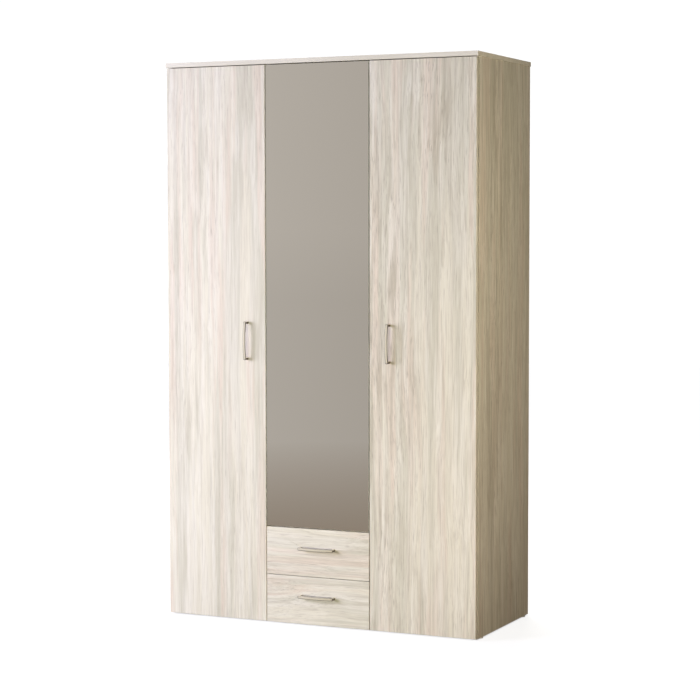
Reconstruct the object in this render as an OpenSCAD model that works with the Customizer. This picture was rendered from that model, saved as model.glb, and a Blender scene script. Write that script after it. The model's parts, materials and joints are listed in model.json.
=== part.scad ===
// Three-door wardrobe with a mirror door and two drawers, built as a flat-pack chipboard carcass.
// Frame: +Z up, the fronts face -Y, +X to the right. The origin is on the floor, under the centre
// of the whole wardrobe's bounding box, handles included.

/* [Overall size] */
// Height from the floor to the top
total_h = 2000; // [1950:10:2060]
// Width over the two side panels
body_w = 1200; // [1160:10:1240]
// Depth from the faces of the doors to the back
body_d = 523; // [515:1:560]
// Width of the middle section, between the centres of its two door gaps
middle_w = 402; // [390:1:410]
// How far the top board stands out past each side panel
top_overhang = 3; // [0:1:6]

/* [Boards] */
// Thickness of the panels, doors and drawer fronts
board = 16; // [16:0.5:18]
// Thickness of the hardboard back and drawer bottoms
hardboard = 3; // [3:0.5:4]
// Thickness of the drawer box sides and back
drawer_board = 12; // [10:1:12]
// Height of the plinth boards
plinth_h = 40; // [36:1:44]
// How far the plinths stand back from the front of the carcass
plinth_setback = 20; // [10:1:60]
// Height of the nail-on glides
glide_h = 4; // [3:1:6]

/* [Fronts] */
// Gap between neighbouring fronts
front_gap = 3; // [2.5:0.5:4]
// Gap between the fronts and the carcass, kept open by bumpers
bumper_gap = 3; // [3:0.5:4]
// How far the outer edges of the fronts stand in from the sides
front_inset = 1.5; // [1:0.5:2]
// Height of the bottom edges of the fronts above the floor
front_bottom = 6; // [5:1:10]
// Gap between the two drawers
drawer_gap = 2; // [2:0.5:4]
// Height of the gap between the mirror door and the drawers
drawers_top = 348; // [346:1:352]
// Chamfer on the upright edges of the doors
edge_chamfer = 1.2; // [1.2:0.1:1.5]
// Thickness of the mirror glass on the middle door
mirror_t = 3; // [2:0.5:3]
// How far the mirror glass stands in from the edges of its door
mirror_inset = 1; // [0.5:0.5:3]

/* [Handles] */
// Distance between the two posts of a handle
handle_spacing = 128; // [96:1:128]
// Length of a handle's bow
handle_length = 138; // [136:1:150]
// How far a handle stands out
handle_reach = 28; // [26:1:34]
// How far the middle of the bow stands out past its ends
handle_bow = 8; // [5:1:10]
// Width of the bow
handle_w = 10; // [8:1:14]
// Thickness of the bow
handle_t = 4; // [3:0.5:5]
// Height of the door handles above the floor
handle_z = 1008; // [900:1:1100]
// Distance of a door's handle from the free edge of its door
handle_inset = 73; // [40:1:100]
// Distance of a drawer's handle from the top of its front
drawer_handle_inset = 70; // [40:1:100]

/* [Inside] */
// Number of shelves in the left section
shelf_count = 4; // [4:1:4]
// Height of the underside of the hat shelf
hat_shelf_z = 1650; // [1600:1:1690]
// Drop of the hanging rail below the hat shelf
rail_drop = 60; // [45:1:90]
// Diameter of the hanging rail
rail_d = 25; // [20:1:28]
// Number of hinges on each door
hinge_count = 4; // [3:1:4]
// Distance of the end hinges from the ends of a door
hinge_end = 100; // [90:1:120]

/* [Drawers] */
// Length of the drawer runners
runner_l = 450; // [400:10:450]
// Height of the drawer box sides
drawer_side_h = 100; // [80:1:104]
// Gap between a drawer side and the carcass, filled by the runner
runner_gap = 12.5; // [12.5:0.1:13]

/* [Hidden] */
$fn = 48;

// Colours
decor = [0.87, 0.83, 0.75];
raw_back = [0.80, 0.76, 0.70];
steel = [0.72, 0.73, 0.74];
nickel = [0.66, 0.65, 0.63];
plastic = [0.93, 0.93, 0.91];
mirror_silver = [0.70, 0.69, 0.67];

// A hair's breadth, so that a cut runs past the face that it opens
past = 0.01;

// Depth: faces of the fronts, front edges of the carcass, rear edges of the carcass, back
nail_head_t = 0.8;
front_y = handle_reach - (handle_reach + body_d + nail_head_t) / 2;
carcass_y = front_y + board + bumper_gap;
back_y = front_y + body_d;
carcass_back = back_y - hardboard;
top_board_lip = 1;

// Width: faces of the panels that stand upright
side_out = body_w / 2;
side_in = side_out - board;
section_x = middle_w / 2;
part_left = -section_x - board / 2;
part_right = -section_x + board / 2;
drawer_part_left = section_x - board / 2;
drawer_part_right = section_x + board / 2;

// Height: boards that lie flat
carcass_top = total_h - board;
floor_z = glide_h + plinth_h;
floor_top = floor_z + board;
drawer_lid_z = drawers_top - board / 2;
drawer_lid_top = drawer_lid_z + board;
shelf_space = (carcass_top - floor_top - shelf_count * board) / (shelf_count + 1);
function shelf_z(i) = floor_top + i * shelf_space + (i - 1) * board;
shelf_setback = 8;
shelf_play = 1;

// Fronts
front_out = side_out - front_inset;
front_in = section_x + front_gap / 2;
middle_half = section_x - front_gap / 2;
front_top = carcass_top - front_gap;
mirror_bottom = drawers_top + front_gap / 2;
drawer_front_h = (drawers_top - front_gap / 2 - drawer_gap - front_bottom) / 2;
lower_front_z = front_bottom;
upper_front_z = front_bottom + drawer_front_h + drawer_gap;

// Hinges: the pivot stands in from the door's edge and in from the door's back face. The arm
// leaves the pin sideways, turns back out of the cup and runs to a plate on the carcass.
pivot_inset = 8;
pivot_depth = 8.5;
pivot_y = front_y + board - pivot_depth;
pin_r = 1.1;
pin_half = 11;
pin_clearance = 0.05;
pin_fit = 0.02;
pin_end_gap = 0.5;
eye_r = 2.1;
cup_r = 17.5;
cup_wall = 1;
cup_depth = 11.5;
cup_floor = 0.6;
cup_x = 13;
cup_bore_gap = 0.1;
flange_t = 1.2;
flange_r = 19;
flange_x = 27;
flange_half = 29;
peg_x = cup_x + 6;
peg_z = 24;
peg_r = 4;
peg_depth = 9;
arm_t = 1.6;
arm_reach = 14;
arm_half = 4.5;
arm_l = 84;
channel_half = 6.5;
channel_wall = 1.2;
channel_l = 60;
channel_leg = 4.7;
arm_off_panel = 7.5;
crank_start = 24;
crank_l = 12;
half_overlay_crank = 8;
plate_from_front = 37;
plate_t = 2;
plate_half_y = 9;
plate_half_z = 25;
plate_screw_z = 16;
arm_screw_ahead = 6;
arm_screw_behind = 18;
arm_screw_head_r = 3.2;
arm_screw_head_t = 1.2;
arm_screw_l = 4.6;
block_half_z = 4.8;
block_l = 46;

// Each door: its name, the x of its hinge edge, which way it reaches from there, its bottom, its
// width and how far its arms are cranked
DOORS = [
    ["left", -front_out, 1, front_bottom, front_out - front_in, 0],
    ["mirror", -middle_half, 1, mirror_bottom, 2 * middle_half, half_overlay_crank],
    ["right", front_out, -1, front_bottom, front_out - front_in, 0],
];
function hinge_z(door, i) =
    door[3] + hinge_end + i * (front_top - door[3] - 2 * hinge_end) / (hinge_count - 1);

// Cam fittings: a bolt screwed into one board is caught by a round lock in the other
cam_r = 7.4;
cam_pocket_r = 7.5;
cam_pocket_depth = 12.5;
cam_from_edge = 34;
cam_bolt_r = 3.5;
cam_channel_r = 4;
cam_thread_r = 2.5;
cam_thread_l = 11;
cam_slot_w = 1.6;
cam_slot_l = 9;
cam_slot_depth = 2;
cam_inset = 60;
cam_inset_other = 92;
edge_joint_rear_inset = 70;

// Ends of the boards that lie flat: x of the upright face, direction of the board, z of the
// board's underside, distance of the cams from the front and the back
END_JOINTS = [
    [-side_in, 1, floor_z, cam_inset],
    [part_left, -1, floor_z, cam_inset],
    [part_right, 1, floor_z, cam_inset_other],
    [side_in, -1, floor_z, cam_inset],
    [part_right, 1, drawer_lid_z, cam_inset],
    [part_right, 1, hat_shelf_z, cam_inset],
    [side_in, -1, hat_shelf_z, cam_inset],
];
// Upright boards against boards that lie flat: x of the board's centre, side that the lock is
// on, z of the edge, and 1 for a top edge or -1 for a bottom edge
EDGE_JOINTS = [
    [-side_out + board / 2, 1, carcass_top, 1],
    [-section_x, 1, carcass_top, 1],
    [side_out - board / 2, -1, carcass_top, 1],
    [section_x, 1, drawer_lid_z, 1],
    [section_x, 1, floor_top, -1],
];

// Shelf pins
pin_hole_r = 2.5;
pin_hole_depth = 10;
pin_out = 8;
shelf_pin_inset = 45;

// Rail and its brackets
rail_y = (carcass_y + carcass_back) / 2;
rail_z = hat_shelf_z - rail_drop;
rail_wall = 1;
bracket_plate_t = 2;
bracket_r = 24;
bracket_ring_r = rail_d / 2 + 2.5;
bracket_ring_l = 12;
rail_end_gap = 0.1;
bracket_screw_r = 19;

// Wall brackets
wall_bracket_x = 400;
wall_bracket_w = 30;
wall_bracket_leg = 32;
wall_bracket_t = 2;
wall_hole_r = 2.75;
wall_hole_drop = 20;
back_hole_r = 3;

// The two halves of the hardboard back meet behind the partition
back_inset = 2;
back_split_half = 0.5;

// Screws and nails
screw_r = 2;
screw_head_r = 3.6;
screw_head_t = 1.4;
screw_l = 13;
screw_slack = 0.2;
flat_head_t = 0.4;
nail_r = 0.8;
nail_head_r = 2.8;
nail_l = 18;
nail_rows = 10;
nail_end = 70;
nail_edge = 4;
nail_columns = 12;
nail_column_step = 95;

// Glides
glide_r = 10;
glide_inset = 40;
glide_spike_r = 1;
glide_spike_l = 12;

// Bumpers
bumper_r = 4;
bumper_play = 0.3;
bumper_t = bumper_gap - bumper_play;
bumper_off_centre = 3;
bumper_low_z = 130;
bumper_high_z = 1850;

// Drawers: the box hangs between two runners. Heights in a drawer count from the underside of its
// sides, and `track` distances count from the outer face of a side towards the carcass.
drawer_half = middle_w / 2 - board / 2 - runner_gap;
drawer_back_y = front_y + board + runner_l;
upper_box_lift = 12;
lower_box_lift = 8;
upper_box_z = upper_front_z + upper_box_lift;
lower_box_z = floor_top + lower_box_lift;
groove_depth = 5;
bottom_lift = 10;
groove_play = 0.1;
sheet_t = 1.2;
runner_leg_h = 14;
runner_front_gap = 1;
track_w = 8.5;
under_leg = 11;
roller_r = 7.7;
roller_from = 4;
roller_to = 9;
axle_r = 2;
axle_clearance = 0.05;
axle_head_r = 3.2;
axle_head_t = 0.8;
front_roller_lift = 4.8;
rear_roller_lift = 3.2;
rear_roller_inset = 12;
front_roller_inset = 14;
cabinet_runner_drop = 6;
cabinet_runner_top = 17.2;
cabinet_runner_lip = 6.5;
cabinet_runner_shelf = 3;
cabinet_runner_setback = 2;
runner_screw_lift = 6;
runner_screw_inset = 40;

// Handles
post_r = 4;
bow_edge = 1.2;
bow_r = (pow(handle_length / 2, 2) + pow(handle_bow, 2)) / (2 * handle_bow);
bow_angle = 2 * asin(handle_length / 2 / bow_r);
handle_screw_r = 2;
handle_screw_head_r = 4;
handle_screw_head_t = 2.2;
handle_screw_grip = 8;
handle_screw_l = board + handle_screw_grip;
door_handle_x = front_in + handle_inset;

// ---------------------------------------------------------------- shared shapes

// A box from its lowest corner to its highest
module slab(low, high) {
    translate(low) cube(high - low);
}

module rod_x(r, from, to) {
    translate([from, 0, 0]) rotate([0, 90, 0]) cylinder(r = r, h = to - from);
}

module rod_y(r, from, to) {
    translate([0, from, 0]) rotate([-90, 0, 0]) cylinder(r = r, h = to - from);
}

module rod_z(r, from, to) {
    translate([0, 0, from]) cylinder(r = r, h = to - from);
}

// A board of the carcass, over its full depth, with every drilling that meets it
module carcass_board(x0, x1, z0, z1, y0 = carcass_y, y1 = carcass_back) {
    difference() {
        slab([x0, y0, z0], [x1, y1, z1]);
        carcass_drillings();
    }
}

// ---------------------------------------------------------------- cam fittings

// Children are placed at each end joint: +X into the flat board, at its mid height
module at_end_joints() {
    for (joint = END_JOINTS)
        for (y = [carcass_y + joint[3], carcass_back - joint[3]])
            translate([joint[0], y, joint[2] + board / 2])
                mirror([joint[1] < 0 ? 1 : 0, 0, 0])
                    children();
}

// Children are placed at each edge joint: +X into the upright board, +Z the lock's open face
module at_edge_joints() {
    for (joint = EDGE_JOINTS)
        for (y = [carcass_y + cam_inset, carcass_back - edge_joint_rear_inset])
            translate([joint[0], y, joint[2]])
                mirror([joint[1] < 0 ? 1 : 0, 0, 0])
                    mirror([0, 0, joint[3] < 0 ? 1 : 0])
                        rotate([0, 90, 0])
                            mirror([0, 0, 1])
                                children();
}

module cam_drilling() {
    rod_x(cam_thread_r, -cam_thread_l, past);
    rod_x(cam_channel_r, -past, cam_from_edge);
    translate([cam_from_edge, 0, 0])
        rod_z(cam_pocket_r, -board / 2 - past, -board / 2 + cam_pocket_depth);
}

module cam_bolt() {
    rod_x(cam_thread_r, -cam_thread_l, 0);
    rod_x(cam_bolt_r, 0, cam_from_edge - cam_pocket_r);
}

module cam_lock() {
    translate([cam_from_edge, 0, -board / 2])
        difference() {
            rod_z(cam_r, 0, cam_pocket_depth);
            for (turn = [0, 90])
                rotate([0, 0, turn])
                    slab([-cam_slot_l / 2, -cam_slot_w / 2, -past],
                         [cam_slot_l / 2, cam_slot_w / 2, cam_slot_depth]);
        }
}

module cam_locks() {
    color(steel) {
        at_end_joints() cam_lock();
        at_edge_joints() cam_lock();
    }
}

module cam_bolts() {
    color(steel) {
        at_end_joints() cam_bolt();
        at_edge_joints() cam_bolt();
    }
}

// Children are placed at each shelf pin, on the panel's face with +X into the section
module at_shelf_pins() {
    for (i = [1:shelf_count])
        for (y = [carcass_y + shelf_pin_inset, carcass_back - shelf_pin_inset])
            for (side = [[-side_in, 0], [part_left, 1]])
                translate([side[0], y, shelf_z(i) - pin_hole_r])
                    mirror([side[1], 0, 0])
                        children();
}

module carcass_drillings() {
    at_end_joints() cam_drilling();
    at_edge_joints() cam_drilling();
    at_shelf_pins() rod_x(pin_hole_r, -pin_hole_depth, past);
}

// ---------------------------------------------------------------- carcass

module left_side_panel() {
    color(decor) carcass_board(-side_out, -side_in, glide_h, carcass_top);
}

module right_side_panel() {
    color(decor) carcass_board(side_in, side_out, glide_h, carcass_top);
}

module partition() {
    color(decor) carcass_board(part_left, part_right, glide_h, carcass_top);
}

module drawer_partition() {
    color(decor) carcass_board(drawer_part_left, drawer_part_right, floor_top, drawer_lid_z);
}

module top_board() {
    edge = side_out + top_overhang;
    color(decor) carcass_board(-edge, edge, carcass_top, total_h, front_y - top_board_lip);
}

module bottom_board_left() {
    color(decor) carcass_board(-side_in, part_left, floor_z, floor_top);
}

module bottom_board_right() {
    color(decor) carcass_board(part_right, side_in, floor_z, floor_top);
}

module plinth_board(x0, x1) {
    y = carcass_y + plinth_setback;
    color(decor) slab([x0, y, glide_h], [x1, y + board, floor_z]);
}

module plinth_left() {
    plinth_board(-side_in, part_left);
}

module plinth_right() {
    plinth_board(part_right, side_in);
}

module drawer_top_board() {
    color(decor) carcass_board(part_right, drawer_part_right, drawer_lid_z, drawer_lid_top);
}

module hat_shelf() {
    color(decor) carcass_board(part_right, side_in, hat_shelf_z, hat_shelf_z + board);
}

module shelf(i) {
    color(decor)
        slab([-side_in + shelf_play, carcass_y + shelf_setback, shelf_z(i)],
             [part_left - shelf_play, carcass_back - shelf_play, shelf_z(i) + board]);
}

module shelf_pins() {
    color(steel) at_shelf_pins() rod_x(pin_hole_r, -pin_hole_depth, pin_out);
}

module back_panel(x0, x1) {
    color(raw_back)
        difference() {
            slab([x0, carcass_back, glide_h + back_inset], [x1, back_y, total_h - back_inset]);
            for (x = [-wall_bracket_x, wall_bracket_x])
                translate([x, 0, carcass_top - wall_hole_drop])
                    rod_y(back_hole_r, carcass_back - past, back_y + past);
        }
}

module back_panel_left() {
    back_panel(-side_out + back_inset, -section_x - back_split_half);
}

module back_panel_right() {
    back_panel(-section_x + back_split_half, side_out - back_inset);
}

module back_nail(x, z) {
    translate([x, 0, z]) {
        rod_y(nail_r, back_y - nail_l, back_y);
        rod_y(nail_head_r, back_y, back_y + nail_head_t);
    }
}

module back_nails() {
    step = (total_h - 2 * nail_end) / (nail_rows - 1);
    side_x = side_out - board / 2;
    color(steel) {
        for (x = [-side_x, -section_x - nail_edge, -section_x + nail_edge, side_x])
            for (i = [0:nail_rows - 1])
                back_nail(x, nail_end + i * step);
        for (z = [floor_z + board / 2, total_h - board / 2])
            for (i = [0:nail_columns - 1])
                back_nail((i - (nail_columns - 1) / 2) * nail_column_step, z);
    }
}

module at_rail_ends() {
    for (end = [[part_right, 0], [side_in, 1]])
        translate([end[0], rail_y, rail_z])
            mirror([end[1], 0, 0])
                children();
}

module hanging_rail() {
    x0 = part_right + bracket_plate_t;
    x1 = side_in - bracket_plate_t;
    color(steel)
        translate([0, rail_y, rail_z])
            difference() {
                rod_x(rail_d / 2, x0, x1);
                rod_x(rail_d / 2 - rail_wall, x0 - past, x1 + past);
            }
}

module rail_brackets() {
    color(steel)
        at_rail_ends()
            union() {
                rod_x(bracket_r, 0, bracket_plate_t);
                difference() {
                    rod_x(bracket_ring_r, 0, bracket_ring_l);
                    rod_x(rail_d / 2 + rail_end_gap, bracket_plate_t, bracket_ring_l + past);
                }
            }
}

module floor_glides() {
    color(plastic)
        for (x = [-side_out + board / 2, -section_x, side_out - board / 2])
            for (y = [carcass_y + glide_inset, carcass_back - glide_inset])
                translate([x, y, 0]) {
                    rod_z(glide_r, 0, glide_h);
                    rod_z(glide_spike_r, glide_h, glide_h + glide_spike_l);
                }
}

module wall_brackets() {
    half_w = wall_bracket_w / 2;
    color(steel)
        for (x = [-wall_bracket_x, wall_bracket_x])
            translate([x, carcass_back, carcass_top])
                difference() {
                    union() {
                        slab([-half_w, -wall_bracket_leg, -wall_bracket_t], [half_w, 0, 0]);
                        slab([-half_w, -wall_bracket_t, -wall_bracket_leg], [half_w, 0, 0]);
                    }
                    translate([0, 0, -wall_hole_drop])
                        rod_y(wall_hole_r, -wall_bracket_t - past, past);
                }
}

module door_bumpers() {
    hat_z = hat_shelf_z + board / 2;
    mirror_x = section_x - board / 2 - bumper_off_centre;
    right_x = section_x + board / 2 + bumper_off_centre;
    left_x = -section_x - bumper_off_centre;
    places = [
        [left_x, bumper_low_z], [left_x, bumper_high_z], [mirror_x, hat_z], [right_x, hat_z],
        [mirror_x + bumper_off_centre, drawer_lid_top - bumper_r], [right_x, floor_z + board / 2],
    ];
    color(plastic)
        for (place = places)
            translate([place[0], 0, place[1]])
                rod_y(bumper_r, carcass_y - bumper_t, carcass_y);
}

// A wood screw along -Z with its head above the origin
module wood_screw(head_t = screw_head_t) {
    rod_z(screw_head_r, 0, head_t);
    rod_z(screw_r, -screw_l, 0);
}

module carcass_screws() {
    color(steel) {
        at_hinges("all") {
            x = panel_face(arm_reach, $crank);
            plate_y = pivot_to_carcass + plate_from_front;
            for (z = [-plate_screw_z, plate_screw_z])
                translate([x + plate_t, plate_y, z])
                    rotate([0, 90, 0]) wood_screw();
            for (y = [-arm_screw_ahead, arm_screw_behind])
                translate([x + arm_off_panel + arm_t / 2, plate_y + y, 0])
                    rotate([0, 90, 0]) arm_screw();
        }
        at_rail_ends()
            for (y = [-bracket_screw_r, bracket_screw_r])
                translate([bracket_plate_t, y, 0])
                    rotate([0, 90, 0]) wood_screw();
        for (x = [-wall_bracket_x, wall_bracket_x])
            translate([x, carcass_back - wall_bracket_leg / 2, carcass_top - wall_bracket_t])
                rotate([180, 0, 0]) wood_screw();
        at_runners("all")
            for (y = [runner_screw_inset, runner_l / 2, runner_l - runner_screw_inset])
                translate([runner_gap - sheet_t, carcass_y + y, runner_screw_lift])
                    rotate([0, -90, 0]) wood_screw(flat_head_t);
    }
}

// ---------------------------------------------------------------- hinges

pivot_to_carcass = carcass_y - pivot_y;

// x of the panel's face that an arm is fixed to, from the pivot
function panel_face(reach, crank) = reach - crank - arm_off_panel;

// Children are placed at the pivot of each hinge of the door: +X into the door's width
module at_hinges(name) {
    for (door = DOORS)
        if (name == "all" || name == door[0])
            for (i = [0:hinge_count - 1])
                translate([door[1] + door[2] * pivot_inset, pivot_y, hinge_z(door, i)])
                    mirror([door[2] < 0 ? 1 : 0, 0, 0]) {
                        $crank = door[5];
                        children();
                    }
}

// The arm seen from above: out of the eye, back along the opening, with the crank if it has one
module arm_outline(crank) {
    half = arm_t / 2;
    polygon([
        [0, -half], [arm_reach + half, -half],
        [arm_reach + half, crank_start], [arm_reach + half - crank, crank_start + crank_l],
        [arm_reach + half - crank, arm_l], [arm_reach - half - crank, arm_l],
        [arm_reach - half - crank, crank_start + crank_l], [arm_reach - half, crank_start],
        [arm_reach - half, half], [0, half],
    ]);
}

module hinge_arm(crank) {
    web_x = arm_reach - crank;
    channel_y = arm_l - channel_l + crank_l;
    difference() {
        union() {
            rod_z(eye_r, -arm_half, arm_half);
            translate([0, 0, -arm_half]) linear_extrude(2 * arm_half) arm_outline(crank);
            slab([web_x - arm_t / 2, channel_y, -channel_half],
                 [web_x + arm_t / 2, arm_l, channel_half]);
            for (z = [-channel_half, channel_half - channel_wall])
                slab([web_x - channel_leg, channel_y, z], [web_x, arm_l, z + channel_wall]);
        }
        rod_z(pin_r + pin_fit, -arm_half - past, arm_half + past);
        for (y = [-arm_screw_ahead, arm_screw_behind])
            translate([0, pivot_to_carcass + plate_from_front + y, 0])
                rod_x(screw_r + screw_slack, web_x - arm_t, web_x + arm_t);
    }
}

module arm_screw() {
    rod_z(arm_screw_head_r, 0, arm_screw_head_t);
    rod_z(screw_r, -arm_screw_l, 0);
}

module hinge_plate(crank) {
    x = panel_face(arm_reach, crank);
    y = pivot_to_carcass + plate_from_front;
    slab([x, y - plate_half_y, -plate_half_z], [x + plate_t, y + plate_half_y, plate_half_z]);
    slab([x, y - block_l / 2, -block_half_z],
         [x + arm_off_panel - arm_t / 2, y + block_l / 2, block_half_z]);
}

module hinge_cup() {
    back = pivot_depth;
    difference() {
        union() {
            translate([cup_x, 0, 0]) {
                rod_y(cup_r, back - cup_depth, back);
                rod_y(flange_r, back, back + flange_t);
            }
            slab([cup_x, back, -flange_half], [flange_x, back + flange_t, flange_half]);
            for (z = [-peg_z, peg_z])
                translate([peg_x, 0, z]) rod_y(peg_r, back - peg_depth, back);
        }
        translate([cup_x, 0, 0])
            rod_y(cup_r - cup_wall, back - cup_depth + cup_floor, back + flange_t + past);
        rod_z(pin_r + pin_clearance, -cup_r, cup_r);
    }
}

// What the cup needs drilled out of the door
module hinge_cup_bores() {
    back = pivot_depth;
    translate([cup_x, 0, 0]) rod_y(cup_r + cup_bore_gap, back - cup_depth, back + past);
    for (z = [-peg_z, peg_z])
        translate([peg_x, 0, z]) rod_y(peg_r + cup_bore_gap, back - peg_depth, back + past);
    rod_z(pin_r + cup_bore_gap, -pin_half - pin_end_gap, pin_half + pin_end_gap);
}

module hinge_arms() {
    color(nickel) at_hinges("all") hinge_arm($crank);
}

module hinge_plates() {
    color(nickel) at_hinges("all") hinge_plate($crank);
}

module hinge_pins() {
    color(steel) at_hinges("all") rod_z(pin_r, -pin_half, pin_half);
}

module hinge_cups(name) {
    color(nickel) at_hinges(name) hinge_cup();
}

// ---------------------------------------------------------------- doors

// A front seen from above, with its upright edges chamfered
module front_outline(x0, x1, y0, y1, c = edge_chamfer) {
    polygon([
        [x0 + c, y0], [x1 - c, y0], [x1, y0 + c], [x1, y1 - c],
        [x1 - c, y1], [x0 + c, y1], [x0, y1 - c], [x0, y0 + c],
    ]);
}

module upright_front(x0, x1, z0, z1, setback = 0) {
    translate([0, 0, z0])
        linear_extrude(z1 - z0)
            front_outline(x0, x1, front_y + setback, front_y + board);
}

module left_door() {
    color(decor)
        difference() {
            upright_front(-front_out, -front_in, front_bottom, front_top);
            at_hinges("left") hinge_cup_bores();
            translate([-door_handle_x, front_y, handle_z]) handle_bores();
        }
}

module mirror_door() {
    color(decor)
        difference() {
            upright_front(-middle_half, middle_half, mirror_bottom, front_top, mirror_t);
            at_hinges("mirror") hinge_cup_bores();
        }
}

module right_door() {
    color(decor)
        difference() {
            upright_front(front_in, front_out, front_bottom, front_top);
            at_hinges("right") hinge_cup_bores();
            translate([door_handle_x, front_y, handle_z]) handle_bores();
        }
}

module mirror_glass() {
    color(mirror_silver)
        slab([-middle_half + mirror_inset, front_y, mirror_bottom + mirror_inset],
             [middle_half - mirror_inset, front_y + mirror_t, front_top - mirror_inset]);
}

// ---------------------------------------------------------------- handles

// A handle stands on a front's face at the origin, along Z, and reaches towards -Y
module handle() {
    inner_r = bow_r - handle_t;
    centre_y = bow_r - handle_reach;
    post_end = centre_y - sqrt(pow(bow_r - handle_t / 2, 2) - pow(handle_spacing / 2, 2));
    half_w = handle_w / 2;
    color(nickel)
        union() {
            translate([0, centre_y, 0])
                rotate([0, 90, 0])
                    rotate([0, 0, 270 - bow_angle / 2])
                        rotate_extrude(angle = bow_angle, $fn = 360)
                            polygon([
                                [inner_r, -half_w], [bow_r - bow_edge, -half_w],
                                [bow_r, -half_w + bow_edge], [bow_r, half_w - bow_edge],
                                [bow_r - bow_edge, half_w], [inner_r, half_w],
                            ]);
            for (z = [-handle_spacing / 2, handle_spacing / 2])
                difference() {
                    translate([0, 0, z]) rod_y(post_r, post_end, 0);
                    translate([0, 0, z]) rod_y(handle_screw_r, board - handle_screw_l, past);
                }
        }
}

module handle_bores() {
    for (z = [-handle_spacing / 2, handle_spacing / 2])
        translate([0, 0, z]) rod_y(handle_screw_r + screw_slack, -past, board + past);
}

module handle_screws() {
    color(steel)
        for (z = [-handle_spacing / 2, handle_spacing / 2])
            translate([0, 0, z]) {
                rod_y(handle_screw_r, board - handle_screw_l, board);
                rod_y(handle_screw_head_r, board, board + handle_screw_head_t);
            }
}

module left_handle() {
    translate([-door_handle_x, front_y, handle_z]) handle();
}

module right_handle() {
    translate([door_handle_x, front_y, handle_z]) handle();
}

module left_handle_screws() {
    translate([-door_handle_x, front_y, handle_z]) handle_screws();
}

module right_handle_screws() {
    translate([door_handle_x, front_y, handle_z]) handle_screws();
}

// ---------------------------------------------------------------- drawers

// Children are placed where a drawer's handle stands, lying along X
module at_drawer_handle(front_z) {
    translate([0, front_y, front_z + drawer_front_h - drawer_handle_inset])
        rotate([0, 90, 0])
            children();
}

module drawer_front(front_z, box_z) {
    color(decor)
        difference() {
            slab([-middle_half, front_y, front_z],
                 [middle_half, front_y + board, front_z + drawer_front_h]);
            at_drawer_handle(front_z) handle_bores();
            drawer_bottom_space(box_z);
        }
}

// The groove that holds the hardboard bottom, in the sides and the front
module drawer_bottom_space(box_z) {
    half = drawer_half - drawer_board + groove_depth;
    slab([-half, front_y + board - groove_depth, box_z + bottom_lift - groove_play],
         [half, drawer_back_y + past, box_z + bottom_lift + hardboard + groove_play]);
}

module drawer_sides(box_z) {
    color(decor)
        difference() {
            for (side = [0, 1])
                mirror([side, 0, 0])
                    slab([drawer_half - drawer_board, front_y + board, box_z],
                         [drawer_half, drawer_back_y, box_z + drawer_side_h]);
            drawer_bottom_space(box_z);
        }
}

module drawer_back(box_z) {
    half = drawer_half - drawer_board;
    color(decor)
        slab([-half, drawer_back_y - drawer_board, box_z + bottom_lift + hardboard + groove_play],
             [half, drawer_back_y, box_z + drawer_side_h]);
}

module drawer_bottom(box_z) {
    half = drawer_half - drawer_board + groove_depth - 2 * groove_play;
    color(raw_back)
        slab([-half, front_y + board - groove_depth + groove_play, box_z + bottom_lift],
             [half, drawer_back_y, box_z + bottom_lift + hardboard]);
}

// Children are placed on both sides of a drawer: x counts outwards from the drawer's side, z from
// the underside of its box
module at_runners(name) {
    for (drawer = [["upper", upper_box_z], ["lower", lower_box_z]])
        if (name == "all" || name == drawer[0])
            for (side = [0, 1])
                mirror([side, 0, 0])
                    translate([drawer_half, 0, drawer[1]])
                        children();
}

// The sheet-steel profile under a drawer side, with the track that rides on the front roller
module drawer_runner() {
    y0 = front_y + board + runner_front_gap;
    axle_y = drawer_back_y - rear_roller_inset;
    head_x = roller_to + 2 * axle_clearance;
    slab([-under_leg, y0, -sheet_t], [sheet_t, drawer_back_y, 0]);
    slab([0, y0, -sheet_t], [sheet_t, drawer_back_y, runner_leg_h]);
    slab([0, y0, runner_leg_h - sheet_t], [track_w, drawer_back_y, runner_leg_h]);
    translate([0, axle_y, rear_roller_lift]) {
        rod_x(axle_r, 0, head_x + axle_head_t);
        rod_x(axle_head_r, head_x, head_x + axle_head_t);
        rod_x(axle_head_r, sheet_t, roller_from - 2 * axle_clearance);
    }
}

// The sheet-steel profile on the carcass, which the rear roller of the drawer runs in
module cabinet_runner() {
    y0 = carcass_y + cabinet_runner_setback;
    y1 = y0 + runner_l;
    web = runner_gap - sheet_t;
    head_x = roller_from - 2 * axle_clearance;
    slab([web, y0, -cabinet_runner_drop], [runner_gap, y1, cabinet_runner_top]);
    slab([cabinet_runner_shelf, y0, -cabinet_runner_drop],
         [runner_gap, y1, -cabinet_runner_drop + sheet_t]);
    slab([cabinet_runner_lip, y0, cabinet_runner_top - sheet_t],
         [runner_gap, y1, cabinet_runner_top]);
    translate([0, carcass_y + front_roller_inset, front_roller_lift]) {
        rod_x(axle_r, head_x - axle_head_t, runner_gap);
        rod_x(axle_head_r, head_x - axle_head_t, head_x);
        rod_x(axle_head_r, roller_to + 2 * axle_clearance, web);
    }
}

module roller(y, lift) {
    translate([0, y, lift])
        difference() {
            rod_x(roller_r, roller_from, roller_to);
            rod_x(axle_r + axle_clearance, roller_from - past, roller_to + past);
        }
}

module front_rollers(name) {
    color(plastic) at_runners(name) roller(carcass_y + front_roller_inset, front_roller_lift);
}

module rear_rollers(name) {
    color(plastic) at_runners(name) roller(drawer_back_y - rear_roller_inset, rear_roller_lift);
}

module drawer_runners(name) {
    color(plastic) at_runners(name) drawer_runner();
}

module cabinet_runners() {
    color(plastic) at_runners("all") cabinet_runner();
}

// ---------------------------------------------------------------- assembly

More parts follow.
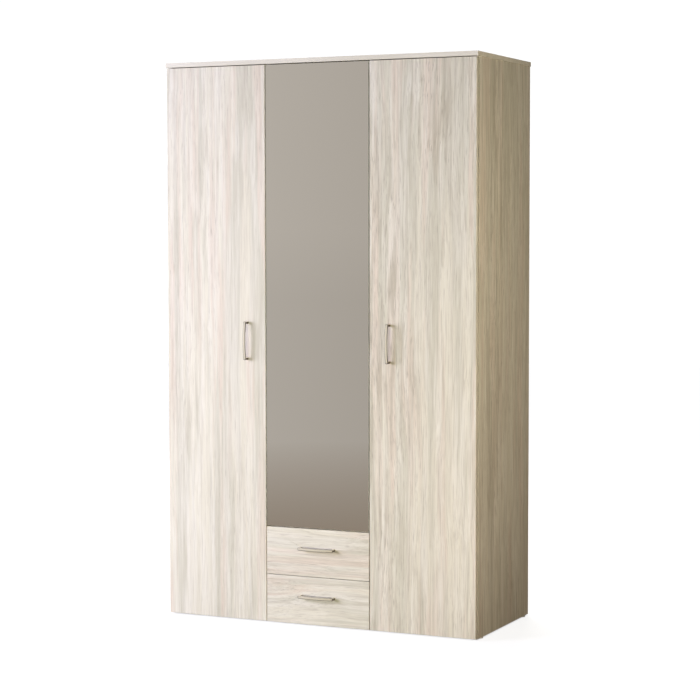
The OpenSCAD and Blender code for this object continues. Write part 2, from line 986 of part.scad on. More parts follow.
left_side_panel();
right_side_panel();
partition();
drawer_partition();
top_board();
bottom_board_left();
bottom_board_right();
plinth_left();
plinth_right();
drawer_top_board();
hat_shelf();
shelf(1);  // shelf_1
shelf(2);  // shelf_2
shelf(3);  // shelf_3
shelf(4);  // shelf_4
back_panel_left();
back_panel_right();
back_nails();
shelf_pins();
hanging_rail();
rail_brackets();
floor_glides();
cam_locks();
cam_bolts();
wall_brackets();
carcass_screws();
door_bumpers();
cabinet_runners();
hinge_arms();
hinge_pins();
hinge_plates();
hinge_cups("left");  // left_hinge_cups
hinge_cups("mirror");  // mirror_hinge_cups
hinge_cups("right");  // right_hinge_cups
left_door();
mirror_door();
right_door();
mirror_glass();
left_handle();
right_handle();
left_handle_screws();
right_handle_screws();
drawer_front(upper_front_z, upper_box_z);  // upper_drawer_front
drawer_sides(upper_box_z);  // upper_drawer_sides
drawer_back(upper_box_z);  // upper_drawer_back
drawer_bottom(upper_box_z);  // upper_drawer_bottom
drawer_runners("upper");  // upper_drawer_runners
at_drawer_handle(upper_front_z) handle();  // upper_drawer_handle
at_drawer_handle(upper_front_z) handle_screws();  // upper_drawer_screws
drawer_front(lower_front_z, lower_box_z);  // lower_drawer_front
drawer_sides(lower_box_z);  // lower_drawer_sides
drawer_back(lower_box_z);  // lower_drawer_back
drawer_bottom(lower_box_z);  // lower_drawer_bottom
drawer_runners("lower");  // lower_drawer_runners
at_drawer_handle(lower_front_z) handle();  // lower_drawer_handle
at_drawer_handle(lower_front_z) handle_screws();  // lower_drawer_screws
front_rollers("upper");  // upper_front_rollers
rear_rollers("upper");  // upper_rear_rollers
front_rollers("lower");  // lower_front_rollers
rear_rollers("lower");  // lower_rear_rollers
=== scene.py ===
"""Looks of the three-door wardrobe: materials, handles, mirror, stage, lights and camera.

Everything is in metres in the row frame: +Z up, the doors face -Y, +X to the right, and the
origin is on the floor under the centre of the wardrobe.
"""

import json
import math

import bmesh
import bpy
from mathutils import Matrix, Vector


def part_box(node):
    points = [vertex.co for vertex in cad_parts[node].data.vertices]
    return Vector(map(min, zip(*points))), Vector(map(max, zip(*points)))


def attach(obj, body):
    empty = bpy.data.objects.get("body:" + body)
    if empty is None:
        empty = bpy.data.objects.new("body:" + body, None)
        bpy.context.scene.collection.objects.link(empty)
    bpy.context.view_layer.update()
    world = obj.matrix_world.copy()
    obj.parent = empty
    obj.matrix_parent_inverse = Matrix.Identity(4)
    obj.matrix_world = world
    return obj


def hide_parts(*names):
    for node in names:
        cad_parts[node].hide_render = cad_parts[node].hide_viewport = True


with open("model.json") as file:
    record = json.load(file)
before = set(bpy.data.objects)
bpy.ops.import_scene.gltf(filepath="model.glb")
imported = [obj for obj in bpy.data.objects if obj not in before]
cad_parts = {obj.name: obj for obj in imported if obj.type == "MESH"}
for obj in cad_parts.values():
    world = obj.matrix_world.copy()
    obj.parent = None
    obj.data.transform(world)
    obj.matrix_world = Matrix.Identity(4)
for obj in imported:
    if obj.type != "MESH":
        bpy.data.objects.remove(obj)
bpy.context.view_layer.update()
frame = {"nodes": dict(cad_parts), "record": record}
nodes = frame["nodes"]
record = frame["record"]

X, Y, Z = 0, 1, 2
MM = 0.001


def srgb(red, green, blue):
    """A colour given as 0-255 display values, as linear RGBA."""
    linear = []
    for value in (red, green, blue):
        v = value / 255
        linear.append(v / 12.92 if v <= 0.04045 else ((v + 0.055) / 1.055) ** 2.4)
    return (*linear, 1.0)


# ---------------------------------------------------------------- shader helpers

class Shader:
    """Builds one material's node tree."""

    def __init__(self, name):
        self.material = bpy.data.materials.new(name)
        self.material.use_nodes = True
        self.tree = self.material.node_tree
        self.tree.nodes.clear()
        output = self.tree.nodes.new("ShaderNodeOutputMaterial")
        self.surface = self.tree.nodes.new("ShaderNodeBsdfPrincipled")
        self.tree.links.new(self.surface.outputs[0], output.inputs["Surface"])
        self.coordinates = self.node("ShaderNodeTexCoord")

    def node(self, kind, inputs=None, **settings):
        """Adds a node with its settings, and links or sets its inputs."""
        made = self.tree.nodes.new(kind)
        for key, value in settings.items():
            setattr(made, key, value)
        for key, value in (inputs or {}).items():
            self.plug(made.inputs[key], value)
        return made

    def plug(self, socket, value):
        """Links a socket to another socket, or sets it to a value."""
        if isinstance(value, bpy.types.NodeSocket):
            self.tree.links.new(value, socket)
        else:
            socket.default_value = value

    def set(self, **inputs):
        """Sets inputs of the Principled shader; an underscore in a name stands for a space."""
        for key, value in inputs.items():
            self.plug(self.surface.inputs[key.replace("_", " ")], value)

    def math(self, operation, a, b=0.0):
        """One sum on one or two values or sockets."""
        return self.node("ShaderNodeMath", {0: a, 1: b}, operation=operation).outputs[0]

    def place(self, scale, location=(0, 0, 0), source=None):
        """Object coordinates, or others given, scaled and moved."""
        inputs = {"Vector": source or self.coordinates.outputs["Object"], "Scale": scale,
                  "Location": location}
        return self.node("ShaderNodeMapping", inputs).outputs[0]

    def noise(self, vector, detail=2.0, roughness=0.5, distortion=0.0):
        """Soft random values from 0 to 1; the vector's own scale sets how fine they are."""
        inputs = {"Vector": vector, "Scale": 1.0, "Detail": detail,
                  "Roughness": roughness, "Distortion": distortion}
        return self.node("ShaderNodeTexNoise", inputs).outputs[0]

    def spread(self, value, low, high, to_low=0.0, to_high=1.0):
        """Value from low..high stretched to to_low..to_high, and clamped there."""
        inputs = {"Value": value, "From Min": low, "From Max": high,
                  "To Min": to_low, "To Max": to_high}
        return self.node("ShaderNodeMapRange", inputs).outputs[0]

    def mix(self, factor, a, b, blend="MIX"):
        """Colour a blended into colour b."""
        made = self.node("ShaderNodeMix", data_type="RGBA", blend_type=blend)
        self.plug(made.inputs[0], factor)
        self.plug(made.inputs[6], a)
        self.plug(made.inputs[7], b)
        return made.outputs[2]

    def bump(self, height, distance, strength):
        """A normal that makes the height look like relief of the given distance."""
        inputs = {"Height": height, "Distance": distance, "Strength": strength}
        return self.node("ShaderNodeBump", inputs).outputs[0]

    def axis_of_normal(self, axis):
        """How squarely a face looks along an axis of the object, from -1 to 1."""
        split = self.node("ShaderNodeSeparateXYZ", {0: self.coordinates.outputs["Normal"]})
        return split.outputs[axis]


# ---------------------------------------------------------------- wood decor

# From the lightest to the darkest: white wash, ground colours, streaks and pores
PALE = srgb(250, 246, 232)
CREAM = srgb(241, 236, 216)
PINK_BEIGE = srgb(236, 224, 205)
GREY_GREEN = srgb(223, 219, 199)
STREAK = srgb(192, 183, 162)
PORE = srgb(160, 149, 131)
# How far wear reaches in from a board's outline, and how deep the decor's relief is
WORN_EDGE = 1.0 * MM
DECOR_RELIEF = 0.25 * MM


def stretched(grain, across, along):
    """A scale vector for a pattern that is stretched along the grain, in features per metre."""
    scale = [across] * 3
    scale[grain] = along
    return scale


def edge_mask(shader, name, width):
    """1 along the outline of a board's two large faces, where the banding meets them."""
    low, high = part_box(name)
    centre = (low + high) / 2
    half = (high - low) / 2
    thin = min(range(3), key=lambda axis: half[axis])
    wide = [axis for axis in range(3) if axis != thin]
    away = shader.node("ShaderNodeVectorMath", operation="SUBTRACT",
                       inputs={0: shader.coordinates.outputs["Object"], 1: centre}).outputs[0]
    size = shader.node("ShaderNodeVectorMath", {0: away}, operation="ABSOLUTE").outputs[0]
    inside = shader.node("ShaderNodeVectorMath", operation="SUBTRACT",
                         inputs={0: half, 1: size}).outputs[0]
    split = shader.node("ShaderNodeSeparateXYZ", {0: inside})
    nearest = shader.math("MINIMUM", split.outputs[wide[0]], split.outputs[wide[1]])
    return shader.spread(nearest, width, 0.4 * width)


def swayed(shader, grain, shift, amount):
    """Object coordinates that wander a little to the sides as they go along the grain."""
    slow = shader.noise(shader.place(stretched(grain, 5.0, 1.1), shift), detail=1)
    quick = shader.noise(shader.place(stretched(grain, 24.0, 5.0), shift), detail=1)
    sway = shader.math("ADD", shader.spread(slow, 0.2, 0.8, -amount, amount),
                       shader.spread(quick, 0.2, 0.8, -0.2 * amount, 0.2 * amount))
    directions = stretched(grain, 1.0, 0.0)
    offset = shader.node("ShaderNodeVectorMath", {0: directions}, operation="SCALE")
    shader.plug(offset.inputs["Scale"], sway)
    return shader.node("ShaderNodeVectorMath", operation="ADD",
                       inputs={0: shader.coordinates.outputs["Object"],
                               1: offset.outputs[0]}).outputs[0]


def decor(name, grain, seed, contrast=1.0, tone=1.0, sway=0.014):
    """Whitewashed wood decor on a board: soft bands, streaks, flames and pores along the grain.

    The seed picks the board's own figure. The sway is how far its lines wander, in metres.
    """
    shader = Shader("decor_" + name)
    shift = [seed * 1.37 + 0.31, seed * 0.83 + 0.17, seed * 1.91 + 0.57]
    bent = swayed(shader, grain, shift, sway)

    def along(across, length, number, detail=2.0, roughness=0.55, distortion=0.0):
        """Noise with so many features per metre across and along the grain."""
        moved = [value * (number + 1) for value in shift]
        vector = shader.place(stretched(grain, across, length), moved, source=bent)
        return shader.noise(vector, detail, roughness, distortion)

    broad = along(5, 0.6, number=1)
    pink = along(15, 0.7, number=2, detail=3)
    green = along(19, 0.9, number=3, detail=3)
    clouds = along(46, 1.6, number=4, detail=3, roughness=0.6)
    streaks = along(120, 3.0, number=5, detail=4, roughness=0.62)
    lines = along(360, 6.0, number=6, roughness=0.6)
    pores = along(420, 18.0, number=7)
    zone = along(4.4, 0.7, number=8)
    flames = along(40, 1.5, number=9, detail=4, roughness=0.66, distortion=0.4)

    # Flames and most pores keep to the same few zones of the board
    flamed = shader.math("MULTIPLY", shader.spread(flames, 0.48, 0.64),
                         shader.spread(zone, 0.46, 0.60))
    pored = shader.math("MULTIPLY", shader.spread(pores, 0.56, 0.72),
                        shader.spread(zone, 0.36, 0.60, 0.2, 1.0))

    # Ground colours first, then lighter clouds and darker streaks, and the pores last
    colour = shader.mix(shader.spread(pink, 0.46, 0.56), CREAM, PINK_BEIGE)
    colour = shader.mix(shader.spread(green, 0.48, 0.58), colour, GREY_GREEN)
    colour = shader.mix(shader.spread(clouds, 0.54, 0.38, 0.0, 0.55), colour, PALE)
    colour = shader.mix(shader.spread(broad, 0.42, 0.70, 0.0, 0.16 * contrast), colour, STREAK)
    colour = shader.mix(shader.math("MULTIPLY", flamed, 0.50 * contrast), colour, STREAK)
    colour = shader.mix(shader.spread(streaks, 0.51, 0.72, 0.0, 0.40 * contrast), colour, STREAK)
    colour = shader.mix(shader.spread(streaks, 0.46, 0.30, 0.0, 0.45), colour, PALE)
    colour = shader.mix(shader.spread(lines, 0.50, 0.70, 0.0, 0.34 * contrast), colour, STREAK)
    colour = shader.mix(shader.math("MULTIPLY", pored, 0.45 * contrast), colour, PORE)

    # The banding on the narrow edges is lighter, and the faces are worn pale along their outlines
    low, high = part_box(name)
    thin = min(range(3), key=lambda axis: high[axis] - low[axis])
    square = shader.math("ABSOLUTE", shader.axis_of_normal(thin))
    colour = shader.mix(shader.spread(square, 0.7, 0.3, 0.0, 0.3), colour, CREAM)
    worn = shader.math("MULTIPLY", edge_mask(shader, name, WORN_EDGE),
                       shader.spread(lines, 0.3, 0.7, 0.1, 0.45))
    colour = shader.mix(worn, colour, PALE)
    if tone != 1.0:
        colour = shader.mix(1.0, colour, (tone, tone, tone, 1.0), blend="MULTIPLY")

    height = shader.math("SUBTRACT", shader.math("MULTIPLY", streaks, 0.5),
                         shader.math("MULTIPLY", pored, 0.5))
    height = shader.math("ADD", height, shader.math("MULTIPLY", lines, 0.35))
    roughness = shader.spread(lines, 0.3, 0.7, 0.44, 0.56)
    shader.set(Base_Color=colour, Roughness=roughness, Specular_IOR_Level=0.42,
               Normal=shader.bump(height, DECOR_RELIEF, 0.5))
    return shader.material


# ---------------------------------------------------------------- other materials

def hardboard():
    """Thin fibreboard: pale foil on the side that faces into the wardrobe, raw brown behind."""
    shader = Shader("hardboard_sheet")
    fibres = shader.noise(shader.place((260, 260, 260)), detail=6, roughness=0.7)
    clouds = shader.noise(shader.place((5, 5, 5)), detail=3)
    mesh_mark = shader.noise(shader.place((900, 900, 90)), detail=1)
    brown = shader.mix(fibres, srgb(150, 118, 86), srgb(186, 153, 116))
    brown = shader.mix(shader.spread(clouds, 0.35, 0.7, 0.0, 0.4), brown, srgb(132, 101, 72))
    brown = shader.mix(shader.spread(mesh_mark, 0.55, 0.7, 0.0, 0.25), brown, srgb(110, 84, 60))
    foil_streaks = shader.noise(shader.place((150, 150, 2.5)), detail=4)
    foil = shader.mix(foil_streaks, srgb(238, 233, 222), srgb(214, 205, 190))
    outside = shader.spread(shader.axis_of_normal(Y), 0.4, 0.6)
    underside = shader.spread(shader.axis_of_normal(Z), -0.4, -0.6)
    raw = shader.math("MAXIMUM", outside, underside)
    shader.set(Base_Color=shader.mix(raw, foil, brown),
               Roughness=shader.math("ADD", shader.math("MULTIPLY", raw, 0.28), 0.48),
               Specular_IOR_Level=0.3,
               Normal=shader.bump(fibres, 0.3 * MM, 0.4))
    return shader.material


def metal(name, colour, dark, roughness, bump=0.02):
    """A metal with darker rubbed patches and fine marks, so many millimetres deep."""
    shader = Shader(name)
    marks = shader.noise(shader.place((700, 700, 700)), detail=3, roughness=0.6)
    patches = shader.noise(shader.place((34, 34, 34)), detail=3)
    tint = shader.mix(shader.spread(patches, 0.35, 0.75), colour, dark)
    tint = shader.mix(shader.spread(marks, 0.5, 0.8, 0.0, 0.35), tint, dark)
    rough = shader.math("ADD", shader.spread(marks, 0.3, 0.7, roughness - 0.06, roughness + 0.06),
                        shader.spread(patches, 0.4, 0.8, 0.0, 0.05))
    shader.set(Base_Color=tint, Metallic=1.0, Roughness=rough,
               Normal=shader.bump(marks, bump * MM, 0.6))
    return shader.material


def handle_nickel():
    """Satin nickel, brushed; a painted highlight makes its face and top light, and painted shade
    makes its sides and posts dark.
    """
    shader = Shader("satin_nickel")
    brushed = shader.noise(shader.place((1400, 1400, 60)), detail=3, roughness=0.6)
    patches = shader.noise(shader.place((40, 40, 40)), detail=3)
    # Painted light: the face and top get a light, less metallic colour as a painted highlight
    face = shader.math("MAXIMUM", shader.spread(shader.axis_of_normal(Y), -0.92, -0.975),
                       shader.spread(shader.axis_of_normal(Z), 0.30, 0.75))
    light = shader.mix(brushed, srgb(240, 234, 212), srgb(224, 217, 194))
    # Painted shade: the sides and the posts get a dark colour in place of shade
    painted_shade_nickel = shader.mix(patches, srgb(140, 132, 120), srgb(106, 99, 89))
    colour = shader.mix(face, painted_shade_nickel, light)
    rough = shader.math("ADD", shader.spread(brushed, 0.3, 0.7, 0.30, 0.42),
                        shader.spread(patches, 0.4, 0.8, 0.0, 0.05))
    metallic = shader.math("SUBTRACT", 1.0, shader.math("MULTIPLY", face, 0.75))
    shader.set(Base_Color=colour, Metallic=metallic, Roughness=rough,
               Normal=shader.bump(brushed, 0.02 * MM, 0.6))
    return shader.material


def coated_steel():
    """White stove enamel with orange peel and a few scuffs."""
    shader = Shader("white_enamel")
    peel = shader.noise(shader.place((420, 420, 420)), detail=2)
    scuffs = shader.noise(shader.place((60, 900, 60)), detail=3)
    colour = shader.mix(shader.spread(scuffs, 0.60, 0.75, 0.0, 0.5), srgb(236, 235, 230),
                        srgb(176, 174, 168))
    shader.set(Base_Color=colour, Roughness=shader.spread(peel, 0.3, 0.7, 0.24, 0.36),
               Normal=shader.bump(peel, 0.05 * MM, 0.5))
    return shader.material


def moulded_plastic(name, light, dark):
    """Moulded plastic with a fine spark-eroded surface."""
    shader = Shader(name)
    spark = shader.noise(shader.place((1500, 1500, 1500)), detail=2)
    clouds = shader.noise(shader.place((80, 80, 80)), detail=2)
    shader.set(Base_Color=shader.mix(clouds, light, dark),
               Roughness=shader.spread(spark, 0.3, 0.7, 0.42, 0.58),
               Normal=shader.bump(spark, 0.03 * MM, 0.6))
    return shader.material


def mirror_glass():
    """Silvered glass: a clean mirror in front, green ground edges and a grey lacquered back."""
    shader = Shader("silvered_glass")
    haze = shader.noise(shader.place((3, 3, 1.2)), detail=4, roughness=0.6)
    edge_noise = shader.noise(shader.place((400, 400, 400)), detail=2)
    front = shader.spread(shader.axis_of_normal(Y), -0.90, -0.99)
    back = shader.spread(shader.axis_of_normal(Y), 0.90, 0.99)
    edge_colour = shader.mix(edge_noise, srgb(176, 196, 186), srgb(202, 214, 206))
    colour = shader.mix(front, edge_colour, (0.91, 0.91, 0.905, 1.0))
    colour = shader.mix(back, colour, srgb(120, 118, 114))
    sheen = shader.spread(haze, 0.45, 0.85, 0.0, 0.03)
    roughness = shader.math("SUBTRACT", 0.28, shader.math("MULTIPLY", front, 0.28))
    shader.set(Base_Color=colour, Metallic=front, Roughness=shader.math("ADD", roughness, sheen))
    return shader.material


# ---------------------------------------------------------------- which node gets what

VERTICAL_BOARDS = ["left_side_panel", "right_side_panel", "partition", "drawer_partition",
                   "left_door", "mirror_door", "right_door"]
FLAT_BOARDS = ["top_board", "bottom_board_left", "bottom_board_right", "plinth_left",
               "plinth_right", "drawer_top_board", "hat_shelf",
               "shelf_1", "shelf_2", "shelf_3", "shelf_4"]
DRAWERS = ["upper", "lower"]
# Boards that differ from the rest: how strong the pattern is, and how light the board is
BOARD_LOOKS = {"left_door": (0.8, 1.0), "right_door": (1.5, 0.99), "right_side_panel": (2.1, 1.02)}


def cover(name, material):
    """Gives a CAD node one material."""
    slots = nodes[name].data.materials
    slots.clear()
    slots.append(material)


for seed, name in enumerate(VERTICAL_BOARDS):
    contrast, tone = BOARD_LOOKS.get(name, (1.0, 1.0))
    cover(name, decor(name, Z, seed, contrast, tone))
for seed, name in enumerate(FLAT_BOARDS):
    cover(name, decor(name, X, seed + 11))
for seed, drawer in enumerate(DRAWERS):
    front = f"{drawer}_drawer_front"
    cover(front, decor(front, X, seed + 33, sway=0.035))
    cover(f"{drawer}_drawer_sides", decor(f"{drawer}_drawer_sides", Y, seed + 41))
    cover(f"{drawer}_drawer_back", decor(f"{drawer}_drawer_back", X, seed + 51))

NICKEL = handle_nickel()
HINGE_NICKEL = metal("plated_hinge_steel", srgb(206, 204, 200), srgb(150, 148, 144), 0.26)
ZINC = metal("zinc_plated_steel", srgb(196, 198, 200), srgb(140, 142, 146), 0.36)
CHROME = metal("chromed_tube", srgb(222, 222, 222), srgb(190, 190, 190), 0.10, bump=0.004)
ENAMEL = coated_steel()
WHITE_PLASTIC = moulded_plastic("white_plastic", srgb(236, 236, 230), srgb(216, 215, 208))
HARDBOARD = hardboard()
MIRROR = mirror_glass()
BY_SLOT = {
    "hardboard": HARDBOARD, "mirror": MIRROR, "handle_nickel": NICKEL,
    "hinge_nickel": HINGE_NICKEL, "zinc_steel": ZINC, "rail_chrome": CHROME,
    "white_steel": ENAMEL, "plastic": WHITE_PLASTIC,
}
for subpart in record["subparts"]:
    if subpart["material_slot"] in BY_SLOT:
        cover(subpart["node"], BY_SLOT[subpart["material_slot"]])


# ---------------------------------------------------------------- softened edges

BOARD_ROUNDING = 0.5 * MM


def soften(name, width):
    """Rounds the sharp edges of a CAD node with modifiers."""
    piece = nodes[name]
    weld = piece.modifiers.new("weld", "WELD")
    weld.merge_threshold = 0.01 * MM
    bevel = piece.modifiers.new("bevel", "BEVEL")
    bevel.width = width
    bevel.segments = 2
    bevel.limit_method = "ANGLE"
    bevel.angle_limit = math.radians(40)
    bevel.use_clamp_overlap = False
    bevel.harden_normals = True
    bevel.miter_outer = "MITER_ARC"


for name in VERTICAL_BOARDS + FLAT_BOARDS:
    soften(name, BOARD_ROUNDING)
for drawer in DRAWERS:
    soften(f"{drawer}_drawer_front", BOARD_ROUNDING)


# ---------------------------------------------------------------- handles

BOW_WIDTH = 10 * MM
BOW_DEPTH = 4 * MM
BOW_RISE = 8 * MM
BOW_END_ROUNDING = 2.0 * MM
# How thick the tip of a bow's rounded end is, as a part of the bow
BOW_TIP = 0.45
POST_INSET = 5 * MM
POST_SIDES = 28
# A post's shape: how far along it, from the front to the bow, and its radius in millimetres
POST_PROFILE = [(0.0, 4.7), (0.05, 4.9), (0.12, 4.6), (0.20, 4.0), (0.50, 3.7), (0.80, 3.8),
                (0.92, 4.1), (1.0, 4.2)]


def bow_section(count=40, squareness=3.0):
    """Points around the rounded square section of a bow, from -1 to 1 both ways."""
    points = []
    for number in range(count):
        angle = 2 * math.pi * number / count
        across, deep = math.cos(angle), math.sin(angle)
        points.append((math.copysign(abs(across) ** (2 / squareness), across),
                       math.copysign(abs(deep) ** (2 / squareness), deep)))
    return points


def bow_stations(half_angle, radius, count=40, cap=7):
    """Angles along the bow with the size of the section there; the ends close in a rounding."""
    ends = []
    for number in range(cap):
        turn = math.pi / 2 * number / (cap - 1)
        ends.append((half_angle - BOW_END_ROUNDING * (1 - math.cos(turn)) / radius,
                     BOW_TIP + (1 - BOW_TIP) * math.sin(turn)))
    inner = ends[-1][0]
    middle = [(inner * (1 - 2 * k / count), 1.0) for k in range(1, count)]
    return ends + middle + [(-angle, size) for angle, size in reversed(ends)]


def loft(bm, rings):
    """Joins rings of points into one closed surface."""
    made = [[bm.verts.new(point) for point in ring] for ring in rings]
    for lower, upper in zip(made, made[1:]):
        for k in range(len(lower)):
            after = (k + 1) % len(lower)
            bm.faces.new((lower[k], lower[after], upper[after], upper[k]))
    bm.faces.new(list(reversed(made[0])))
    bm.faces.new(made[-1])


def bow_handle(node, body):
    """A crowned bow on two turned posts, in place of a plain CAD handle."""
    low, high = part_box(node)
    centre = (low + high) / 2
    along = Z if high[Z] - low[Z] > high[X] - low[X] else X
    across = X if along == Z else Z
    half_length = (high[along] - low[along]) / 2
    radius = (half_length ** 2 + BOW_RISE ** 2) / (2 * BOW_RISE)
    half_angle = math.asin(half_length / radius)
    arc_centre = low[Y] + radius

    def point(reach, side, depth):
        """A point so far along the handle and to its side, at a depth."""
        made = Vector((0, 0, 0))
        made[along] = centre[along] + reach
        made[across] = centre[across] + side
        made[Y] = depth
        return made

    bm = bmesh.new()
    rings = []
    for angle, size in bow_stations(half_angle, radius):
        ring = []
        for side, deep in bow_section():
            here = radius - BOW_DEPTH / 2 * (1 + deep * size)
            ring.append(point(here * math.sin(angle), side * size * BOW_WIDTH / 2,
                              arc_centre - here * math.cos(angle)))
        rings.append(ring)
    loft(bm, rings)
    for end in (-1, 1):
        reach = end * (half_length - POST_INSET)
        core = radius - BOW_DEPTH / 2
        bow_y = arc_centre - math.sqrt(core ** 2 - reach ** 2)
        rings = []
        for part, post_radius in POST_PROFILE:
            depth = high[Y] + part * (bow_y - high[Y])
            turns = [2 * math.pi * k / POST_SIDES for k in range(POST_SIDES)]
            rings.append([point(reach + post_radius * MM * math.sin(turn),
                                post_radius * MM * math.cos(turn), depth) for turn in turns])
        loft(bm, rings)
    bmesh.ops.recalc_face_normals(bm, faces=bm.faces)
    mesh = bpy.data.meshes.new(node + "_bow")
    bm.to_mesh(mesh)
    bm.free()
    mesh.shade_smooth()
    mesh.materials.append(NICKEL)
    piece = bpy.data.objects.new(node + "_bow", mesh)
    bpy.context.scene.collection.objects.link(piece)
    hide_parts(node)
    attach(piece, body)


HANDLES = {"left_handle": "left_door", "right_handle": "right_door",
           "upper_drawer_handle": "upper_drawer", "lower_drawer_handle": "lower_drawer"}
for node, body in HANDLES.items():
    bow_handle(node, body)


# ---------------------------------------------------------------- stage, lights and camera

FLOOR_HALF = 14.0
FLOOR_TONE = srgb(138, 124, 108)
# The white that the camera sees behind the wardrobe, and the dim light of the room
WHITE_WALL = 1.05
ROOM_TINT = (1.0, 0.88, 0.745, 1)
ROOM_LIGHT = 0.02
# The wall that mirrors and metals see: how far to the right a direction points, and its tone
WALL_TONES = [(-0.58, srgb(196, 189, 180)), (-0.27, srgb(150, 142, 132)),
              (0.10, srgb(164, 156, 146)), (0.75, srgb(140, 132, 122))]


def map_range(tree, value, source, target):
    """Value from one range stretched to another, and clamped there."""
    made = tree.nodes.new("ShaderNodeMapRange")
    for key, number in zip(("From Min", "From Max", "To Min", "To Max"), (*source, *target)):
        made.inputs[key].default_value = number
    tree.links.new(value, made.inputs["Value"])
    return made.outputs[0]


def stage_floor():
    """A pale floor: white to the camera with a faint shadow, dull to diffuse light, and fading
    into the plain wall tone for reflections."""
    mesh = bpy.data.meshes.new("studio_floor")
    corners = [(x * FLOOR_HALF, y * FLOOR_HALF, 0) for x, y in ((-1, -1), (1, -1), (1, 1), (-1, 1))]
    mesh.from_pydata(corners, [], [(0, 1, 2, 3)])
    floor = bpy.data.objects.new("studio_floor", mesh)
    bpy.context.scene.collection.objects.link(floor)
    shader = Shader("studio_floor")
    shader.tree.nodes.remove(shader.surface)
    output = next(n for n in shader.tree.nodes if n.type == "OUTPUT_MATERIAL")
    path = shader.node("ShaderNodeLightPath")

    # The floor glows whiter away from the middle, and inside the wardrobe's outline its glow is
    # dimmed as a painted contact shadow
    away = shader.node("ShaderNodeVectorMath", operation="LENGTH",
                       inputs={0: shader.coordinates.outputs["Object"]}).outputs["Value"]
    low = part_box("left_side_panel")[0]
    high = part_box("right_side_panel")[1]
    from_centre = shader.node("ShaderNodeVectorMath", operation="SUBTRACT",
                              inputs={0: shader.coordinates.outputs["Object"],
                                      1: (low + high) / 2}).outputs[0]
    size = shader.node("ShaderNodeVectorMath", {0: from_centre}, operation="ABSOLUTE").outputs[0]
    split = shader.node("ShaderNodeSeparateXYZ", {0: size})
    past = shader.math("MAXIMUM",
                       shader.math("SUBTRACT", split.outputs[X], (high[X] - low[X]) / 2),
                       shader.math("SUBTRACT", split.outputs[Y], (high[Y] - low[Y]) / 2))
    # Painted shadow: the glow drops to 0.12 inside the wardrobe's outline
    strength = shader.math("MULTIPLY", shader.spread(away, 1.0, 4.5, 0.86, 1.0),
                           shader.spread(past, -0.012, 0.0, 0.12, 1.0))

    # What the camera sees, what lights the wardrobe from below, and what it reflects
    glow = shader.node("ShaderNodeEmission", {"Color": (1, 1, 1, 1), "Strength": strength})
    white = shader.node("ShaderNodeBsdfDiffuse", {"Color": (0.34, 0.34, 0.34, 1)})
    seen = shader.node("ShaderNodeAddShader", {0: glow.outputs[0], 1: white.outputs[0]})
    dull = shader.node("ShaderNodeBsdfDiffuse", {"Color": (0.16, 0.14, 0.12, 1)})
    near = shader.node("ShaderNodeEmission", {"Color": FLOOR_TONE, "Strength": 1.0})
    beyond = shader.node("ShaderNodeBsdfTransparent")
    reflected = shader.node("ShaderNodeMixShader", {0: shader.spread(away, 1.5, 6.5),
                                                    1: near.outputs[0], 2: beyond.outputs[0]})
    first = shader.node("ShaderNodeMixShader", {0: path.outputs["Is Glossy Ray"],
                                                1: dull.outputs[0], 2: reflected.outputs[0]})
    last = shader.node("ShaderNodeMixShader", {0: path.outputs["Is Camera Ray"],
                                               1: first.outputs[0], 2: seen.outputs[0]})
    shader.plug(output.inputs["Surface"], last.outputs[0])
    mesh.materials.append(shader.material)


def studio_world():
    """White behind the wardrobe, a warm dim room for diffuse light, and a plain wall in mirrors,
    a little lighter on one side than on the other."""
    world = bpy.data.worlds.new("studio")
    bpy.context.scene.world = world
    world.use_nodes = True
    tree = world.node_tree
    tree.nodes.clear()
    output = tree.nodes.new("ShaderNodeOutputWorld")
    path = tree.nodes.new("ShaderNodeLightPath")
    backgrounds = {"wall": tree.nodes.new("ShaderNodeBackground")}
    for key, colour, strength in (("white", (1, 1, 1, 1), WHITE_WALL),
                                  ("room", ROOM_TINT, ROOM_LIGHT)):
        made = tree.nodes.new("ShaderNodeBackground")
        made.inputs["Color"].default_value = colour
        made.inputs["Strength"].default_value = strength
        backgrounds[key] = made

    # The wall's tone changes from side to side, and it is a little lighter above the horizon
    direction = tree.nodes.new("ShaderNodeTexCoord")
    split = tree.nodes.new("ShaderNodeSeparateXYZ")
    tree.links.new(direction.outputs["Generated"], split.inputs[0])
    ramp = tree.nodes.new("ShaderNodeValToRGB")
    tree.links.new(ramp.outputs[0], backgrounds["wall"].inputs["Color"])
    left_end, right_end = WALL_TONES[0][0], WALL_TONES[-1][0]
    steps = ramp.color_ramp.elements
    while len(steps) < len(WALL_TONES):
        steps.new(0.5)
    for step, (place, tone) in zip(steps, WALL_TONES):
        step.position = (place - left_end) / (right_end - left_end)
        step.color = tone
    across = map_range(tree, split.outputs["X"], (left_end, right_end), (0.0, 1.0))
    tree.links.new(across, ramp.inputs[0])
    up = map_range(tree, split.outputs["Z"], (-0.035, 0.0), (1.0, 1.075))
    tree.links.new(up, backgrounds["wall"].inputs["Strength"])

    # White for the camera, the wall for reflections and the room for all other light
    glossy = tree.nodes.new("ShaderNodeMixShader")
    tree.links.new(path.outputs["Is Glossy Ray"], glossy.inputs[0])
    tree.links.new(backgrounds["room"].outputs[0], glossy.inputs[1])
    tree.links.new(backgrounds["wall"].outputs[0], glossy.inputs[2])
    direct = tree.nodes.new("ShaderNodeMixShader")
    tree.links.new(path.outputs["Is Camera Ray"], direct.inputs[0])
    tree.links.new(glossy.outputs[0], direct.inputs[1])
    tree.links.new(backgrounds["white"].outputs[0], direct.inputs[2])
    tree.links.new(direct.outputs[0], output.inputs["Surface"])


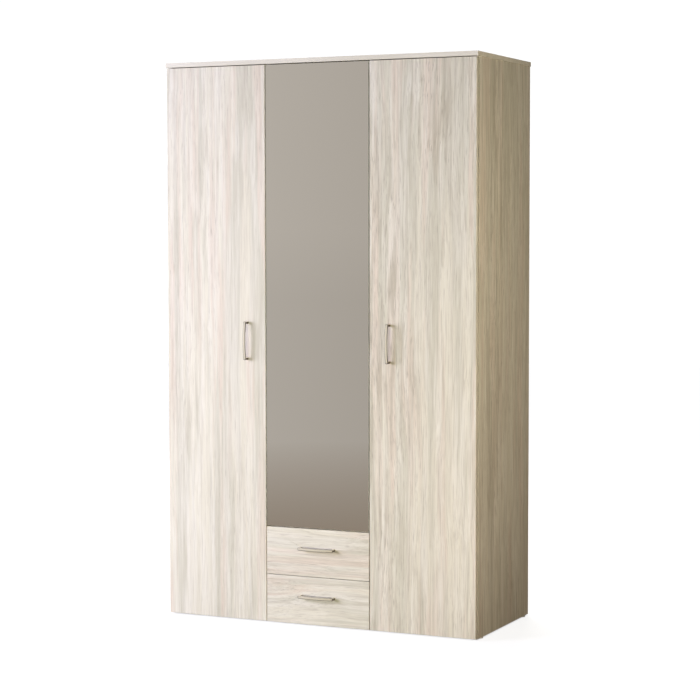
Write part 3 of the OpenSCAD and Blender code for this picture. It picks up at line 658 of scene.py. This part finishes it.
def softbox(name, place, aim, size, power, colour, spread=180):
    """A soft rectangular lamp that neither the camera nor the mirror sees."""
    light = bpy.data.lights.new(name, "AREA")
    light.shape = "RECTANGLE"
    light.size, light.size_y = size
    light.energy = power
    light.color = colour
    light.spread = math.radians(spread)
    lamp = bpy.data.objects.new(name, light)
    lamp.location = place
    lamp.rotation_euler = (Vector(aim) - Vector(place)).to_track_quat("-Z", "Y").to_euler()
    lamp.visible_camera = False
    lamp.visible_glossy = False
    bpy.context.scene.collection.objects.link(lamp)


# The camera's lens in millimetres, its place in metres, and its turn in degrees: to the left,
# down and clockwise
SENSOR_WIDTH = 36
FOCAL_LENGTH = 103.2
CAMERA_PLACE = (3.0618, -6.5680, 1.3955)
CAMERA_YAW = 24.902
CAMERA_PITCH = 3.382
CAMERA_ROLL = 0.072


def main_camera():
    """A long lens, a little above the middle of the wardrobe and to its right."""
    data = bpy.data.cameras.new("camera")
    data.sensor_width = SENSOR_WIDTH
    data.lens = FOCAL_LENGTH
    camera = bpy.data.objects.new("camera", data)
    turn = (Matrix.Rotation(math.radians(CAMERA_YAW), 4, "Z")
            @ Matrix.Rotation(math.radians(90 - CAMERA_PITCH), 4, "X")
            @ Matrix.Rotation(math.radians(-CAMERA_ROLL), 4, "Z"))
    camera.matrix_world = Matrix.Translation(CAMERA_PLACE) @ turn
    bpy.context.scene.collection.objects.link(camera)
    bpy.context.scene.camera = camera


stage_floor()
studio_world()
# The large cool lamp on the left that lights the doors
softbox("key", place=(-3.4, -3.0, 1.5), aim=(0.0, -0.2, 1.0), size=(2.6, 2.3),
        power=204, colour=(1.0, 0.985, 1.27))
# A warm lamp near the floor that lifts the drawers and the lower ends of the doors
softbox("low", place=(0.2, -3.4, 0.3), aim=(0.1, -0.2, 0.7), size=(1.6, 0.5),
        power=27, colour=(1.0, 1.02, 0.72))
# Two small warm lamps for the side panel, one high and one low
softbox("fill", place=(2.62, -0.95, 1.35), aim=(0.6, -0.5, 1.45), size=(0.8, 0.8),
        power=8.6, colour=(1.0, 0.89, 0.71), spread=100)
softbox("kick", place=(1.7, -1.6, 0.35), aim=(0.6, -0.3, 0.3), size=(0.4, 0.4),
        power=1.3, colour=(1.0, 0.80, 0.65), spread=80)
# A high lamp behind, for the back panels and the top
softbox("back", place=(-0.9, 2.9, 3.5), aim=(0.0, 0.2, 1.3), size=(1.6, 1.2),
        power=135, colour=(1.0, 0.98, 0.95))
main_camera()
bpy.context.scene.view_settings.view_transform = "Standard"
